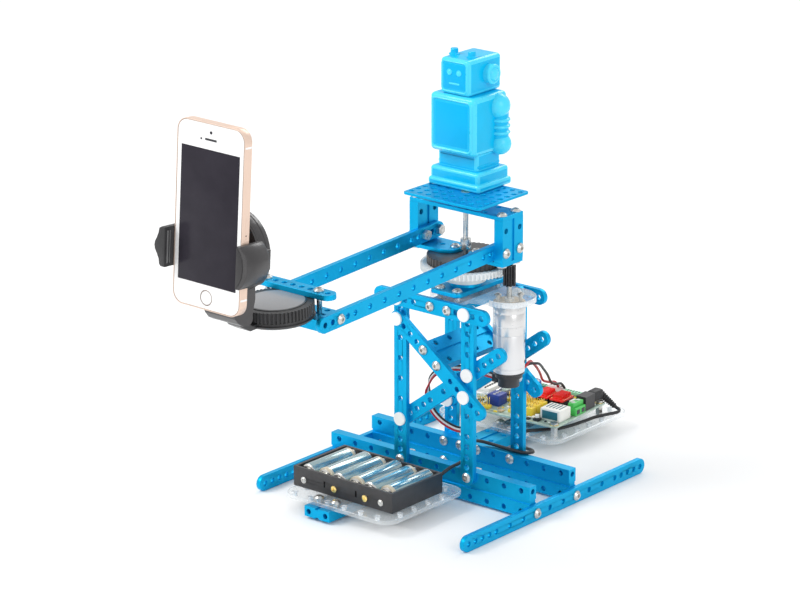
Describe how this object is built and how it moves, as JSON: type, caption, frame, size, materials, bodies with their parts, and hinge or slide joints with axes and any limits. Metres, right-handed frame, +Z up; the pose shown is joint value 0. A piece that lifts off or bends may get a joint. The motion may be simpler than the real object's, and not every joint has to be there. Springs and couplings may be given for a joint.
{
  "type": "desktop robot arm",
  "caption": "Blue aluminium kit tower with a motor-driven turntable carrying a long boom that ends in a tilting phone holder, a toy figure on top and electronics behind",
  "frame": {"origin": "centre of the bounding box footprint without the free cords, on the ground under the feet", "axes": "X runs along the rails, Y along the feet and the boom with the phone at -Y, Z up"},
  "size_m": [0.2044, 0.4864, 0.3431],
  "materials": {
    "anodised_blue": "sky-blue anodised aluminium",
    "clear_plastic": "clear acrylic sheet",
    "steel": "zinc-plated steel",
    "white_nylon": "white nylon",
    "hub_black": "black plastic",
    "holder_black": "black moulded plastic",
    "grip_rubber": "black soft-touch rubber",
    "motor_steel": "bright steel can",
    "pinion_black": "blackened steel",
    "cell_wrap": "printed battery sleeve",
    "contacts": "nickel-plated spring steel",
    "board_green": "solder-masked circuit board",
    "header_gold": "gold-plated pins in yellow housings",
    "driver_red": "red solder mask",
    "connector_white": "moulded connector plastic",
    "toy_blue": "glossy blue moulded plastic",
    "phone_metal": "pale gold anodised aluminium",
    "phone_glass": "white-backed cover glass over a dark display",
    "lead_black": "black cable jacket",
    "wire_red": "red and black wire insulation",
    "wire_grey": "black, white and red wire insulation"
  },
  "bodies": {
    "base": {"left_foot": "anodised_blue", "right_foot": "anodised_blue", "front_rail": "anodised_blue", "rear_rail": "anodised_blue", "tower_posts": "anodised_blue", "top_beams": "anodised_blue", "falling_braces": "anodised_blue", "rising_braces": "anodised_blue", "tie_beams": "anodised_blue", "battery_support_beam": "anodised_blue", "board_support_beam": "anodised_blue", "battery_tray": "clear_plastic", "board_tray": "clear_plastic", "battery_holder": "holder_black", "battery_cells": "cell_wrap", "battery_contacts": "contacts", "circuit_board": "board_green", "board_standoffs": "steel", "pin_headers": "header_gold", "driver_modules": "driver_red", "connector_blocks": "connector_white", "power_jack": "holder_black", "motor_plate": "clear_plastic", "bearing_plate": "anodised_blue", "motor_body": "motor_steel", "motor_encoder": "holder_black", "center_shaft": "steel", "shaft_collars": "steel", "platform_plate": "anodised_blue", "toy_figure": "toy_blue", "frame_screws": "steel", "frame_nuts": "steel", "frame_rivets": "white_nylon", "power_lead": "lead_black", "power_plug": "lead_black", "motor_leads": "wire_red", "encoder_cable": "wire_grey"},
    "head": {"bearing_drum": "white_nylon", "drive_gear": "white_nylon", "gear_hub": "hub_black", "bottom_plates": "anodised_blue", "head_posts": "anodised_blue", "head_top_plate": "anodised_blue", "left_arm": "anodised_blue", "right_arm": "anodised_blue", "arm_cross_beam": "anodised_blue", "clamp_bar": "anodised_blue", "head_screws": "steel", "head_nuts": "steel", "cup_base": "holder_black", "hinge_pin": "steel"},
    "pinion": {"motor_pinion": "pinion_black"},
    "cup_ring": {"cup_ring": "grip_rubber"},
    "holder": {"holder_body": "holder_black", "phone_frame": "phone_metal", "phone_front": "phone_glass"},
    "left_jaw": {"left_jaw": "grip_rubber"},
    "right_jaw": {"right_jaw": "grip_rubber"},
    "home_button": {"home_button": "phone_glass"},
    "reset_button": {"reset_button": "connector_white"}
  },
  "joints": [
    {"name": "head_spin", "type": "hinge", "parent": "base", "child": "head", "pos_m": [0.016, 0.05122, 0.175], "axis": [0, 0, 1], "continuous": true},
    {"name": "pinion_spin", "type": "hinge", "parent": "base", "child": "pinion", "pos_m": [0.05254, 0.05701, 0.175], "axis": [0, 0, 1], "continuous": true},
    {"name": "cup_lock", "type": "hinge", "parent": "head", "child": "cup_ring", "pos_m": [0.02, -0.16453, 0.19697], "axis": [0, -0.0419, 0.9991], "range_deg": [0, 60]},
    {"name": "holder_tilt", "type": "hinge", "parent": "head", "child": "holder", "pos_m": [0.02, -0.20791, 0.20266], "axis": [1, 0, 0], "range_deg": [-8, 20]},
    {"name": "right_jaw_slide", "type": "slide", "parent": "holder", "child": "right_jaw", "axis": [0.9999, -0.0007, -0.0122], "range_m": [0, 0.012]},
    {"name": "left_jaw_slide", "type": "slide", "parent": "holder", "child": "left_jaw", "axis": [-0.9999, 0.0007, 0.0122], "range_m": [0, 0.012]},
    {"name": "home_button_press", "type": "slide", "parent": "holder", "child": "home_button", "axis": [0, 0.9983, -0.0576], "range_m": [0, 0.0003], "stiffness_N_per_m": 300},
    {"name": "reset_button_press", "type": "slide", "parent": "base", "child": "reset_button", "axis": [0, 0, -1], "range_m": [0, 0.0004], "stiffness_N_per_m": 300}
  ],
  "couplings": [
    {"joint": "pinion_spin", "follows": "head_spin", "ratio": -8.25},
    {"joint": "left_jaw_slide", "follows": "right_jaw_slide", "ratio": 1}
  ]
}
